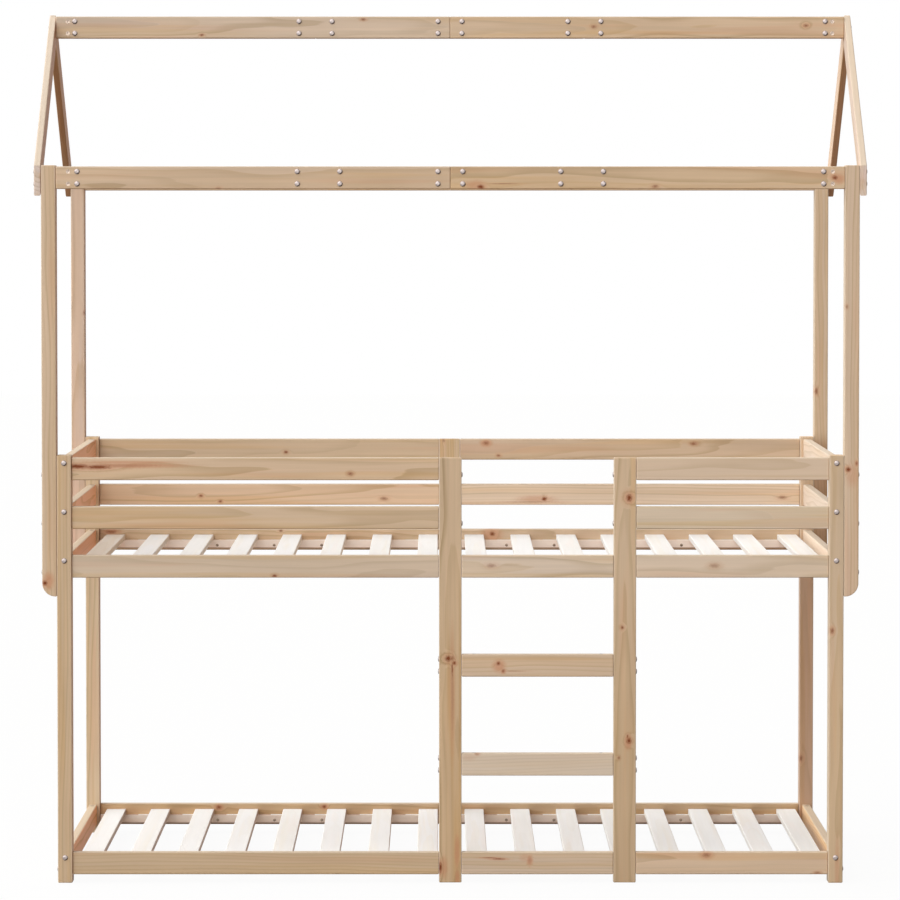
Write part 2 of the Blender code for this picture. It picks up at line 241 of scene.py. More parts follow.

# Metals. The faces of a domed head that turn to the lower right take a dark metal as painted shade. Roughness
# is (from, to, low, high).
ZINC_COLOUR = (0.40, 0.34, 0.32)
ZINC_PAINTED_SHADE = (0.07, 0.045, 0.035)
SCREW_COLOUR = (0.30, 0.22, 0.16)
NUT_COLOUR = (0.46, 0.36, 0.29)
METAL_NOISE = ((420, 420, 420), 3, 0.6)
METAL_CLOUD_EDGES = (0.35, 0.7)
METAL_CLOUD_TINT = 0.78
METAL_ROUGHNESS = (0.2, 0.8, 0.24, 0.34)
PAINTED_SHADE_SIDE = Vector((0.62, 0, -0.78))
PAINTED_SHADE_FROM = 0.25

# Grain of the pine. Noises are (scales along, across and through a board, detail, roughness).
SEED_STEP = (3.17, 1.31, 2.23)
SEED_REACH = 40
SLAT_SEED_STEP = 2.37
SWAY_ACROSS = ((1.1, 5, 5), 0.060)
SWAY_THROUGH = ((1.3, 7, 7), 0.050)
SWAY_SHIFT = (9.1, 4.3, 7.7)
LOG_TAPER = 0.010
RING_WIDTH_SHARES = (0.75, 1.3)
RING_NOISE = ((3.0, 40, 40), 0.7)
LATE_EDGES = ((0.45, 0.94), (1.0, 0.95))
LATE_SHARES = (0.20, 0.80)
RING_OCHRE = 0.60
RING_PALENESS = 0.50
FIBRE_NOISE = ((7, 420, 420), 2, 0.6)
FIBRE_WEIGHT = 0.08
TONE_NOISES = (
    ((2.2, 120, 120), 2, 0.5, 0.14),
    ((1.6, 40, 40), 3, 0.55, 0.26),
    ((2.6, 11, 11), 2, 0.5, 0.16),
)
PINE_ROUGHNESS = 0.50
LATE_ROUGHNESS = 0.12
LATE_RELIEF = 0.5
FIBRE_RELIEF = 0.8
PINE_BUMP = {"Strength": 0.25, "Distance": 0.0006}
PINE_GLOSS = {"Metallic": 0, "IOR": 1.45, "Specular IOR Level": 0.14}

# Chance that a board is sawn flat, and where the heart of its log may lie across and behind its broad face
FLAT_SAWN_SHARE = 0.85
FLAT_PITH = ((-0.025, 0.025), (0.030, 0.075))
SIDE_PITH = ((0.05, 0.12), (0.0, 0.04))
SLAT_HEART = (0, 0, 0.05)

# Tones of boards without shares of their own, and how warmth and redness change red, green and blue
USUAL_LIGHTNESS = (0.97, 1.03)
USUAL_WARMTH = (-0.15, 0.15)
WARMTH_SHARES = (0.03, 0.0, -0.25)
REDNESS_SHARES = (0.25, -0.13, -0.28)

# Parts of a knot, from where they end to where they are full, in shares of its radius
KNOT_NOISE = ((160, 260, 120), 2, 0.6)
KNOT_WOBBLE = 1.1
HEART_EDGES = (1.0, 0.45)
RIM_EDGES = ((0.6, 0.95), (1.5, 1.0))
HALO_EDGES = (3.2, 0.8)
BEND_EDGES = (4.2, 0.4)
BEND_SHARE = 2.2
KNOT_MARKS = (("Halo", 0.72, "Halo Colour"), ("Rim", 0.45, "Knot Colour"), ("Heart", 0.96, "Knot Colour"))

# Tints multiply a colour. The edge tint is a painted highlight; the side, underside, lower arris, slat side
# and shadowed slat tints are painted light and shade; the ochre, pale, blush and late slat tints are tone of
# the grain.
OCHRE_TINT = (0.97, 0.90, 0.76, 1)
PALE_TINT = (1.04, 1.05, 1.08, 1)
BLUSH_TINT = (1.00, 0.89, 0.85, 1)
EDGE_HIGHLIGHT_TINT = (1.04, 1.14, 1.24)
RED_SHADED_SIDE = (1.28, 0.88, 0.70, 1)
DARK_SHADED_SIDE = (0.78, 0.55, 0.43, 1)
SHADED_UNDERSIDE = (0.5, 0.36, 0.26, 1)
LOWER_ARRIS_SHADE = (0.58, 0.48, 0.42, 1)
SLAT_LATE_TINT = (0.94, 0.91, 0.87, 1)
# The sides of the slats: paler in the upper bunk as painted light, darker in the lower bunk as painted shade
SLAT_SIDE_LIGHT_AND_SHADE = {"upper": (0.98, 0.84, 0.72, 1), "lower": (0.64, 0.47, 0.38, 1)}
# The lower bunk's slats are made lighter as painted light
SLAT_LIGHT_LIFTS = {"upper": 1, "lower": 1.055}
# Painted shadow on the upper bunk's slats at the far left
SHADOWED_SLAT_BEFORE = -0.895
SHADOWED_SLAT_TINT = (0.89, 0.81, 0.71, 1)

# Patches of another tint, as (shift of the noise, its scales, edges, strength, tint)
PATCHES = (
    ((2.9, 8.8, 1.7), (1.0, 34, 34), (0.50, 0.66), 0.75, OCHRE_TINT),
    ((6.1, 3.3, 5.9), (1.5, 26, 26), (0.54, 0.72), 0.70, BLUSH_TINT),
)

# How pale the painted highlight is on the arrises that catch the light, and how far the figure of slats and
# end rails is toned down
EDGE_HIGHLIGHT_PALENESS = 0.75
SLAT_FIGURE = 0.35
END_RAIL_FIGURE = 0.5

# How far under a face or an arris a tint starts and is full, in metres
EDGE_DEPTHS = (0.0030, 0.0009)
FACE_DEPTHS = (0.0012, 0.0005)
LOWER_ARRIS_DEPTHS = (0.0022, 0.0009)
CLEAT_ARRIS_DEPTHS = (0.0034, 0.00136)

# Boards that are darker toward one end or on one face, by the start of the node's name, as (direction, side,
# depths, tint). The lower ends of the rear right corner and roof posts and the undersides of the rear rafters
# are painted shade; the ladder posts are darker toward the bottom. The directions are 0 along the grain, 1
# across the board and 2 through it.
NODE_TINTS = {
    "ladder_post": (0, -1, (1.0, 0.4), (0.93, 0.90, 0.84, 1)),
    "corner_post_rear_right": (0, -1, (0.83, 0.76), (0.90, 0.81, 0.80, 1)),
    "roof_post_rear_right": (0, -1, (0.40, 0.33), (0.70, 0.59, 0.53, 1)),
    "rafter_rear": (1, -1, FACE_DEPTHS, SHADED_UNDERSIDE),
}

# How a point of the bed becomes (along the grain, across the broad face, through the board)
SWIZZLES = {"X": (0, 2, 1), "Y": (1, 2, 0), "Z": (2, 0, 1), "SLAT": (1, 0, 2), "SLOPE": (1, 2, 0)}

# Stage
WHITE = (1, 1, 1, 1)
FLOOR_SIZE = 60
FLOOR_BOUNCE = (0.42, 0.38, 0.35, 1)
FLOOR_GLOW = 0.944
FLOOR_DIFFUSE = (0.045, 0.043, 0.041, 1)
ROOM_COLOUR = (1.0, 0.95, 0.90, 1)
KEY_FROM = (-0.70, -0.07, 0.71)
KEY_ANGLE = math.radians(110)
FRONT_FROM = (-0.10, -0.97, 0.20)
FRONT_ANGLE = math.radians(50)
LAMP_COLOUR = (0.95, 0.98, 1.0)
CAMERA_SIDE = -0.027
CAMERA_SHIFT_X = 0.0109
CAMERA_SHIFT_Y = -0.0796
CAMERA_SENSOR = 36
CAMERA_CLIP = (0.1, 200)


# Sizes and colours that a user would change


def wood_colour(name, description, default):
    return FloatVectorProperty(
        name=name, description=description, default=default, subtype="COLOR", size=3, min=0, max=1
    )


def length(name, description, low, high, default):
    return FloatProperty(
        name=name, description=description, default=default, subtype="DISTANCE", unit="LENGTH",
        min=low, max=high, precision=4,
    )


def strength(name, description, high, default):
    return FloatProperty(name=name, description=description, default=default, min=0, max=high)


class WoodLook(bpy.types.PropertyGroup):
    board_colour: wood_colour("Board colour", "Pale wood between the year rings", (0.655, 0.485, 0.335))
    ring_colour: wood_colour("Ring colour", "Darker late wood of the year rings", (0.45, 0.305, 0.165))
    slat_colour: wood_colour("Slat colour", "Pale wood of the slats", (0.91, 0.885, 0.86))
    cleat_colour: wood_colour("Cleat colour", "Pinkish wood of the cleats under the slats", (0.97, 0.81, 0.70))
    knot_colour: wood_colour("Knot colour", "Heart of a knot", (0.20, 0.048, 0.015))
    halo_colour: wood_colour("Halo colour", "Reddish wood around a knot", (0.58, 0.27, 0.15))
    ring_width: length("Ring width", "Mean width of a year ring", 0.001, 0.02, 0.0085)
    ring_strength: FloatProperty(
        name="Ring strength", description="How much the late wood shows", default=0.60,
        subtype="FACTOR", min=0, max=1,
    )
    seed: IntProperty(name="Seed", description="Changes the grain of every board", min=0, default=11)


class FittingSizes(bpy.types.PropertyGroup):
    head_radius: length("Head radius", "Radius of a domed bolt head", 0.002, 0.02, 0.0073)
    head_height: length("Head height", "Height of a domed bolt head over the wood", 0.001, 0.01, 0.0030)
    socket_radius: length("Socket radius", "Corner radius of the six-sided socket", 0.0005, 0.005, 0.0022)
    screw_radius: length("Screw radius", "Radius of the small screw heads in the cleats", 0.001, 0.01, 0.0040)
    nut_radius: length("Nut radius", "Radius of a barrel nut's round end", 0.002, 0.01, 0.0050)


class StageLook(bpy.types.PropertyGroup):
    key_strength: strength("Key light", "Strength of the broad light from the upper left", 20, 4.22)
    front_strength: strength("Front light", "Strength of the soft light from the front", 20, 0.86)
    room_strength: strength("Room light", "Strength of the even light from all round", 5, 0.175)
    camera_distance: length("Camera distance", "From the middle of the bed to the camera", 1, 50, 12.0171)
    camera_height: length("Camera height", "Height of the camera over the floor", 0, 10, 1.7981)
    camera_pitch: FloatProperty(
        name="Camera pitch", description="How far the camera looks down",
        subtype="ANGLE", unit="ROTATION", min=-1.5, max=1.5, default=math.radians(2.2389),
    )
    camera_lens: FloatProperty(
        name="Lens", description="Focal length of the camera in millimetres", min=10, max=500, default=173.71
    )


# Helpers for node materials


def arithmetic(operation):
    return lambda first, second: first.wires.math(operation, first, second)


class Signal:
    """A number, vector, colour or shader in a node tree. Arithmetic on signals adds the nodes that do it."""

    __add__ = arithmetic("ADD")
    __sub__ = arithmetic("SUBTRACT")
    __mul__ = arithmetic("MULTIPLY")
    __truediv__ = arithmetic("DIVIDE")

    def __init__(self, wires, socket):
        self.wires = wires
        self.socket = socket

    def __rsub__(self, other):
        return self.wires.math("SUBTRACT", other, self)

    def parts(self):
        """The three parts of a vector or a colour."""
        made = self.wires.node("ShaderNodeSeparateXYZ")
        self.wires.feed(made.inputs[0], self)
        return [Signal(self.wires, socket) for socket in made.outputs]


class Wiring:
    """Adds nodes to one node tree and hands back their results as signals."""

    def __init__(self, tree):
        self.tree = tree
        tree.nodes.clear()

    def node(self, kind, **settings):
        made = self.tree.nodes.new(kind)
        for name, value in settings.items():
            setattr(made, name, value)
        return made

    def feed(self, socket, value):
        """Links a signal to a socket, or sets the socket to a plain value."""
        if isinstance(value, Signal):
            self.tree.links.new(value.socket, socket)
        else:
            socket.default_value = value

    def result(self, kind, values, output=0, **settings):
        """One output of a new node whose inputs are fed by number or name."""
        made = self.node(kind, **settings)
        for key, value in values.items():
            self.feed(made.inputs[key], value)
        return Signal(self, made.outputs[output])

    def group(self, tree, values):
        """The outputs of a node group by name, for the values of its inputs."""
        made = self.node("ShaderNodeGroup", node_tree=tree)
        for name, value in values.items():
            self.feed(made.inputs[name], value)
        return {socket.name: Signal(self, socket) for socket in made.outputs}

    def math(self, operation, *values):
        """The operation on vectors where one of the values is a vector, and on numbers otherwise."""
        sockets = [value.socket.type for value in values if isinstance(value, Signal)]
        on_vectors = "VECTOR" in sockets or any(isinstance(value, tuple) for value in values)
        kind = "ShaderNodeVectorMath" if on_vectors else "ShaderNodeMath"
        return self.result(kind, dict(enumerate(values)), operation=operation)

    def join(self, *parts):
        return self.result("ShaderNodeCombineXYZ", dict(enumerate(parts)))

    def object_point(self):
        return self.result("ShaderNodeTexCoord", {}, "Object")

    def noise(self, point, scales, detail=2, roughness=0.5):
        """Noise from 0 to 1, with a scale for each direction."""
        values = {"Vector": point * scales, "Scale": 1, "Detail": detail, "Roughness": roughness}
        return self.result("ShaderNodeTexNoise", values, "Fac", noise_dimensions="3D")

    def step(self, value, low, high, start=0.0, end=1.0):
        """A smooth step between two values."""
        values = dict(enumerate((value, low, high, start, end)))
        return self.result("ShaderNodeMapRange", values, interpolation_type="SMOOTHSTEP")

    def near(self, value, face, depths):
        """0 deep under a face and 1 at it, with a smooth step between two depths."""
        return self.step(value, *(face - depth for depth in depths))

    def choose(self, factor, first, second):
        """The first vector where the factor is 0, the second where it is 1."""
        return self.result("ShaderNodeMix", {0: factor, 4: first, 5: second}, 1, data_type="VECTOR")

    def blend(self, factor, first, second, mode="MIX"):
        """The first colour where the factor is 0, and the second where it is 1, or their product."""
        values = {0: factor, 6: first, 7: second}
        return self.result("ShaderNodeMix", values, 2, data_type="RGBA", blend_type=mode, clamp_factor=True)

    def tinted(self, factor, colour, tint):
        """The colour multiplied by a tint, as far as the factor goes."""
        return self.blend(factor, colour, self.blend(1.0, colour, tint, "MULTIPLY"))

    def shade(self, plain, values):
        """Ends a material in one shader, which keeps a plain colour under the one that is fed."""
        shader = self.node("ShaderNodeBsdfPrincipled")
        shader.inputs["Base Color"].default_value = (*plain, 1)
        for name, value in values.items():
            self.feed(shader.inputs[name], value)
        self.end(Signal(self, shader.outputs[0]))

    def end(self, surface, kind="ShaderNodeOutputMaterial"):
        self.feed(self.node(kind).inputs["Surface"], surface)


def new_material(name):
    """A material and the wiring of its empty node tree."""
    material = bpy.data.materials.new(name)
    material.use_nodes = True
    return material, Wiring(material.node_tree)


def set_material(obj, material):
    obj.data.materials.clear()
    obj.data.materials.append(material)


FLOAT, VECTOR, COLOUR = "NodeSocketFloat", "NodeSocketVector", "NodeSocketColor"
KNOT_VALUES = ("Radius", "Stretch", "Share", "Core")
MARKS = ("Heart", "Rim", "Halo", "Bend")


def new_group(name, inputs, outputs):
    """A node group with its sockets, as (wiring, signals that come in by name, sockets that go out)."""
    tree = bpy.data.node_groups.new(name, "ShaderNodeTree")
    for in_out, sockets in (("INPUT", inputs), ("OUTPUT", outputs)):
        for socket_name, kind in sockets.items():
            tree.interface.new_socket(socket_name, in_out=in_out, socket_type=kind)
    wires = Wiring(tree)
    given = {socket.name: Signal(wires, socket) for socket in wires.node("NodeGroupInput").outputs}
    return wires, given, wires.node("NodeGroupOutput").inputs


def shared_group(name, maker):
    return bpy.data.node_groups.get(name) or maker(name)


def knot_group(name):
    """Adds one knot to those before it: its heart, dark rim and reddish halo, and how it bends the rings."""
    marks = dict.fromkeys(MARKS, FLOAT)
    inputs = {**dict.fromkeys(("Board", "Place"), VECTOR), **dict.fromkeys(KNOT_VALUES, FLOAT)}
    wires, given, result = new_group(name, {**inputs, **marks}, marks)
    radius, core = given["Radius"], given["Core"]
    along, across, _ = (given["Board"] - given["Place"]).parts()
    along, across = along / given["Stretch"] / radius, across / radius
    wobble = wires.noise(given["Board"], *KNOT_NOISE) - 0.5
    spread = wires.math("SQRT", along * along + across * across) + wobble * KNOT_WOBBLE
    own = {
        "Heart": wires.step(spread, *HEART_EDGES) * core,
        "Rim": wires.step(spread, *RIM_EDGES[0]) * wires.step(spread, *RIM_EDGES[1]) * core,
        "Halo": wires.step(spread, *HALO_EDGES) * given["Share"],
    }
    for mark, value in own.items():
        wires.feed(result[mark], wires.math("MAXIMUM", given[mark], value))
    wires.feed(result["Bend"], given["Bend"] + wires.step(spread, *BEND_EDGES) * radius * BEND_SHARE * core)
    return wires.tree


def pine_group(name):
    """Planed pine on a board's own coordinates: x along the grain, y across the broad face, z through it."""
    inputs = {
        **dict.fromkeys(("Board", "Pith"), VECTOR),
        **dict.fromkeys(("Seed", "Ring Width", "Strength", "Figure", "Edge", *MARKS), FLOAT),
        **dict.fromkeys(("Early", "Late", "Edge Colour", "Knot Colour", "Halo Colour"), COLOUR),
    }
    wires, given, result = new_group(name, inputs, {"Colour": COLOUR, "Roughness": FLOAT, "Height": FLOAT})
    seed, figure = given["Seed"], given["Figure"]
    board = given["Board"] + wires.join(seed, seed, seed) * SEED_STEP

    # Year rings around the pith, which wanders along the board
    along, across, through = (given["Board"] - given["Pith"]).parts()
    across += (wires.noise(board, SWAY_ACROSS[0]) - 0.5) * SWAY_ACROSS[1]
    through += (wires.noise(board + SWAY_SHIFT, SWAY_THROUGH[0]) - 0.5) * SWAY_THROUGH[1]
    radius = wires.math("SQRT", across * across + through * through) + given["Bend"] + along * LOG_TAPER
    ring = radius / given["Ring Width"] + wires.noise(board, RING_NOISE[0]) * RING_NOISE[1]
    number = {"W": wires.math("FLOOR", ring) + seed}
    chances = wires.result("ShaderNodeTexWhiteNoise", number, "Color", noise_dimensions="1D").parts()
    share = wires.math("FRACT", ring)
    late = wires.step(share, *LATE_EDGES[0]) * wires.step(share, *LATE_EDGES[1])
    late *= chances[0] * LATE_SHARES[1] + LATE_SHARES[0]

    # Each ring's own tint, then fibres, streaks, slow changes of tone and patches
    early = wires.tinted(chances[1] * RING_OCHRE, given["Early"], OCHRE_TINT)
    early = wires.tinted(chances[2] * RING_PALENESS, early, PALE_TINT)
    early = wires.blend(figure, given["Early"], early)
    colour = wires.blend(late * given["Strength"], early, given["Late"])
    fibre = wires.noise(board, *FIBRE_NOISE) - 0.5
    light = fibre * FIBRE_WEIGHT
    for *noise, weight in TONE_NOISES:
        light += (wires.noise(board, *noise) - 0.5) * weight
    light = light * figure + 1.0
    colour = wires.blend(1.0, colour, wires.join(light, light, light), "MULTIPLY")
    for shift, scales, edges, strength, tint in PATCHES:
        patch = wires.step(wires.noise(board + shift, scales), *edges)
        colour = wires.tinted(patch * figure * strength, colour, tint)
    # Painted highlight on the arrises that catch the light, then the knots
    colour = wires.blend(given["Edge"] * EDGE_HIGHLIGHT_PALENESS, colour, given["Edge Colour"])
    for mark, strength, mark_colour in KNOT_MARKS:
        colour = wires.blend(given[mark] * strength, colour, given[mark_colour])
    wires.feed(result["Colour"], colour)
    wires.feed(result["Roughness"], late * LATE_ROUGHNESS + PINE_ROUGHNESS)
    wires.feed(result["Height"], late * LATE_RELIEF + fibre * FIBRE_RELIEF)
    return wires.tree


def toned(colour, tone):
    """A colour made lighter, warmer and redder by shares."""
    lightness, warmth, redness = tone
    channels = zip(colour, WARMTH_SHARES, REDNESS_SHARES)
    return (*(c * lightness * (1 + warm * warmth) * (1 + red * redness) for c, warm, red in channels), 1)


def board_point(wires, axis, slope, centre):
    """Where a point lies from a board's middle, in the board's own directions."""
    point = wires.object_point()
    if slope:
        values = {"Vector": point, "Rotation": (slope, 0, 0)}
        point = wires.result("ShaderNodeMapping", values, vector_type="POINT")
    parts = point.parts()
    return wires.join(*(parts[index] for index in SWIZZLES[axis])) - centre


def face_tints(name, axis):
    """The faces, arrises and ends of a board that are tinted darker or redder than the rest, as in NODE_TINTS:
    the inner faces of the left boards and the lower arrises are painted shade.
    """
    tints = []
    # Painted shade on the inner faces of the left posts, end rails and rafters, redder on the end rails
    if axis != "X" and name.endswith("_left") and not name.startswith("ladder"):
        tints.append((1 if axis == "Z" else 2, 1, FACE_DEPTHS, RED_SHADED_SIDE if axis == "Y" else DARK_SHADED_SIDE))
    tints += [tint for start, tint in NODE_TINTS.items() if name.startswith(start)]
    # Painted shade along the lower arrises of rails, beams and end rails
    if axis in "XY":
        tints.append((1, -1, LOWER_ARRIS_DEPTHS, LOWER_ARRIS_SHADE))
    return tints


def edge_mark(wires, across, axis, half):
    """1 on the arrises that catch the light, which get a painted highlight: both long ones of a post, and the
    upper one of other boards.
    """
    return wires.near(wires.math("ABSOLUTE", across) if axis == "Z" else across, half, EDGE_DEPTHS)


def knot_marks(wires, board, centre, knots):
    """What all of a board's knots leave on a point."""
    marks = dict.fromkeys(MARKS, 0.0)
    for along, across, *shape in knots:
        values = {"Board": board, "Place": (along - centre[0], across - centre[1], 0)}
        values.update(zip(KNOT_VALUES, shape))
        marks = wires.group(shared_group("knot", knot_group), {**values, **marks})
    return marks


def new_pine(name):
    """The material and wiring of one board or slat base, with the seed and ring width of its own grain."""
    look = bpy.context.scene.bunk_bed_wood
    chance = random.Random(f"{look.seed} pine_{name}")
    seed, share = chance.uniform(0, SEED_REACH), chance.uniform(*RING_WIDTH_SHARES)
    return *new_material(f"pine_{name}"), {"Seed": seed, "Ring Width": look.ring_width * share}


def finish_pine(wires, plain, values, tints):
    """Ends a material in planed pine. The tints are (mask, tint) pairs, mostly painted light and shade, and
    plain is its usual colour.
    """
    look = bpy.context.scene.bunk_bed_wood
    # The edge colour is a painted highlight, paler and cooler than the plain colour
    colours = {
        "Edge Colour": (*(channel * tint for channel, tint in zip(plain, EDGE_HIGHLIGHT_TINT)), 1),
        "Knot Colour": (*look.knot_colour, 1),
        "Halo Colour": (*look.halo_colour, 1),
    }
    pine = wires.group(shared_group("planed_pine", pine_group), {**values, **colours})
    colour = pine["Colour"]
    for mask, tint in tints:
        colour = wires.tinted(mask, colour, tint)
    bump = wires.result("ShaderNodeBump", {**PINE_BUMP, "Height": pine["Height"]}, "Normal")
    wires.shade(plain, {**PINE_GLOSS, "Base Color": colour, "Roughness": pine["Roughness"], "Normal": bump})


def board_material(name, axis, slope, centre, halves, pith, tone):
    """Pine for one board, from its middle and half its size in its own directions."""
    look = bpy.context.scene.bunk_bed_wood
    material, wires, grain = new_pine(name)
    board = board_point(wires, axis, slope, centre)
    parts = board.parts()
    figure = FIGURE_SHARES.get(name, 1.0)
    values = {
        **grain,
        "Board": board,
        "Pith": pith,
        "Strength": look.ring_strength * figure,
        "Figure": figure * (END_RAIL_FIGURE if axis == "Y" else 1.0),
        "Edge": edge_mark(wires, parts[1], axis, halves[1]),
        "Early": toned(look.board_colour, tone),
        "Late": toned(look.ring_colour, tone),
        **knot_marks(wires, board, centre, KNOTS.get(name, ())),
    }
    tints = [
        (wires.near(parts[direction] * side, halves[direction], depths), tint)
        for direction, side, depths, tint in face_tints(name, axis)
    ]
    finish_pine(wires, look.board_colour, values, tints)
    return material


def slat_place(wires, along_bed):
    """The number of the nearest slat, and how far to the right of its middle a point lies."""
    from_middle = along_bed - SLATS_SHIFT
    outward, side = wires.math("ABSOLUTE", from_middle), wires.math("SIGN", from_middle)
    number = wires.math("FLOOR", from_middle / MIDDLE_SLAT_PITCH)
    wide = wires.join(number, (number + 0.5) * MIDDLE_SLAT_PITCH, 0.0)
    last_wide = (MIDDLE_SLATS_PER_HALF - 0.5) * MIDDLE_SLAT_PITCH
    steps = wires.math("ROUND", (outward - last_wide) / SLAT_PITCH)
    close = wires.join(side * (steps + MIDDLE_SLATS_PER_HALF), side * (steps * SLAT_PITCH + last_wide), 0.0)
    far = wires.math("GREATER_THAN", outward, last_wide + SLAT_PITCH / 2)
    number, middle, _ = wires.choose(far, wide, close).parts()
    return number, from_middle - middle


def slat_material(name, cleat_top):
    """Pine for one slat base: pale slats, each with its own grain, over pinkish cleats."""
    look = bpy.context.scene.bunk_bed_wood
    bunk = name.split("_")[0]
    # The lower bunk's slats are painted lighter, as painted light
    plain = tuple(channel * SLAT_LIGHT_LIFTS[bunk] for channel in look.slat_colour)
    material, wires, grain = new_pine(name)
    across_bed, along_bed, height = board_point(wires, "SLAT", 0, (0, 0, cleat_top)).parts()
    number, from_slat = slat_place(wires, along_bed)
    cleat = wires.math("LESS_THAN", height, 0.0)
    slat = 1.0 - cleat
    in_slat, in_cleat = wires.join(across_bed, from_slat, height), wires.join(along_bed, height, across_bed)
    early = wires.blend(cleat, (*plain, 1), (*look.cleat_colour, 1))
    values = {
        **grain,
        "Board": wires.choose(cleat, in_slat, in_cleat),
        "Pith": SLAT_HEART,
        "Seed": number * slat * SLAT_SEED_STEP + grain["Seed"],
        "Strength": look.ring_strength * SLAT_FIGURE,
        "Figure": SLAT_FIGURE,
        "Early": early,
        "Late": wires.blend(1.0, early, SLAT_LATE_TINT, "MULTIPLY"),
    }
    tints = [
        # Painted light and shade on the slat sides
        (wires.near(from_slat, SLAT_WIDTH / 2, FACE_DEPTHS) * slat, SLAT_SIDE_LIGHT_AND_SHADE[bunk]),
        # Painted shade along the lower arris of the cleats
        (wires.near(height * -1, CLEAT_HEIGHT, CLEAT_ARRIS_DEPTHS), LOWER_ARRIS_SHADE),
    ]
    # Painted shadow on the leftmost slats of the upper bunk
    if bunk == "upper":
        tints.append((wires.math("LESS_THAN", along_bed, SHADOWED_SLAT_BEFORE) * slat, SHADOWED_SLAT_TINT))
    finish_pine(wires, plain, values, tints)
    return material


def metal_material(name, colour):
    """Plated steel, a little cloudy. The material is made once and shared."""
    if name in bpy.data.materials:
        return bpy.data.materials[name]
    material, wires = new_material(name)
    cloud = wires.noise(wires.object_point(), *METAL_NOISE)
    clouded = tuple(channel * METAL_CLOUD_TINT for channel in colour)
    values = {
        "Metallic": 1,
        "Base Color": wires.blend(wires.step(cloud, *METAL_CLOUD_EDGES), (*colour, 1), (*clouded, 1)),
        "Roughness": wires.step(cloud, *METAL_ROUGHNESS),
    }
    wires.shade(colour, values)
    return material


def random_pith(chance):
    """Where the heart of the log lay, across and behind the board's broad face."""
    if chance.random() < FLAT_SAWN_SHARE:
        return (0, *(chance.uniform(*reach) for reach in FLAT_PITH))
    side = chance.choice((-1, 1))
    return (0, side * chance.uniform(*SIDE_PITH[0]), chance.uniform(*SIDE_PITH[1]))


def grain_axis(name):
    for start, axis in GRAIN_AXES.items():
        if name.startswith(start):
            return axis
    return "Y" if "_end_" in name else "X"


def slope_of(name):
    """The turn about X that lays a rafter's length on Y."""
    low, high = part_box(name)
    run, rise = high.y - low.y, high.z - low.z
    angle = math.atan2(rise, run)
    for _ in range(SLOPE_TRIES):
        angle = math.atan2(rise - RAFTER_WIDTH / math.cos(angle), run)
    return -angle if "_front_" in name else angle


def dress_board(obj, name, low, high):
    """Gives one board its pine, with its own grain, tone and knots, and for some boards painted light and
    shade.
    """
    chance = random.Random(f"{bpy.context.scene.bunk_bed_wood.seed} pith {name}")
    axis = grain_axis(name)
    slope = slope_of(name) if axis == "SLOPE" else 0
    middle = Euler((slope, 0, 0)).to_matrix() @ ((low + high) / 2)
    centre = tuple(middle[index] for index in SWIZZLES[axis])
    halves = [(high - low)[index] / 2 for index in SWIZZLES[axis]]
    if slope:
        halves[1] = RAFTER_WIDTH / 2
    usual = (chance.uniform(*USUAL_LIGHTNESS), chance.uniform(*USUAL_WARMTH), 0)
    tone = TONE_AND_LIGHT_SHARES.get(name, usual)
    pith = PITHS.get(name) or random_pith(chance)
    set_material(obj, board_material(name, axis, slope, centre, halves, pith, tone))


# Helpers for modelling


def deselect_all():
    bpy.ops.object.select_all(action="DESELECT")


def select_only(*objs):
    deselect_all()
    for obj in objs:
        obj.select_set(True)
    bpy.context.view_layer.objects.active = objs[0]


def enter_edit(obj, wanted):
    """Enters edit mode with the faces selected that the test wants."""
    bpy.ops.object.mode_set(mode="EDIT")
    bpy.ops.mesh.select_mode(type="FACE")
    bpy.ops.mesh.select_all(action="DESELECT")
    bpy.ops.object.mode_set(mode="OBJECT")
    for face in obj.data.polygons:
        face.select = wanted(face)
    bpy.ops.object.mode_set(mode="EDIT")


def leave_edit():
    bpy.ops.object.mode_set(mode="OBJECT")


def faces_up(face):
    return face.normal.z > FACING_UP


def apply_place(obj):
    select_only(obj)
    bpy.ops.object.transform_apply(location=True, rotation=True, scale=True)


def upright_cylinder(sides, radius, height, middle_z):
    deselect_all()
    bpy.ops.mesh.primitive_cylinder_add(vertices=sides, radius=radius, depth=height, location=(0, 0, middle_z))
    cylinder = bpy.context.object
    apply_place(cylinder)
    return cylinder


def bevelled_block(middle, size, bevel, segments):
    deselect_all()
    bpy.ops.mesh.primitive_cube_add(size=1, location=middle)
    block = bpy.context.object
    block.scale = size
    apply_place(block)
    bpy.ops.object.mode_set(mode="EDIT")
    bpy.ops.mesh.select_all(action="SELECT")
    bpy.ops.mesh.bevel(offset=bevel, segments=segments, affect="EDGES")
    leave_edit()
    return block


def cut(obj, cutter):
    """Cuts the cutter's shape out of the object and removes the cutter."""
    select_only(obj)
    boolean = obj.modifiers.new("cut", "BOOLEAN")
    boolean.operation = "DIFFERENCE"
    boolean.solver = "EXACT"
    boolean.object = cutter
    bpy.ops.object.modifier_apply(modifier=boolean.name)
    bpy.data.objects.remove(cutter, do_unlink=True)


def shade_smooth(obj):
    select_only(obj)
    bpy.ops.object.shade_smooth_by_angle(angle=SMOOTH_ANGLE)


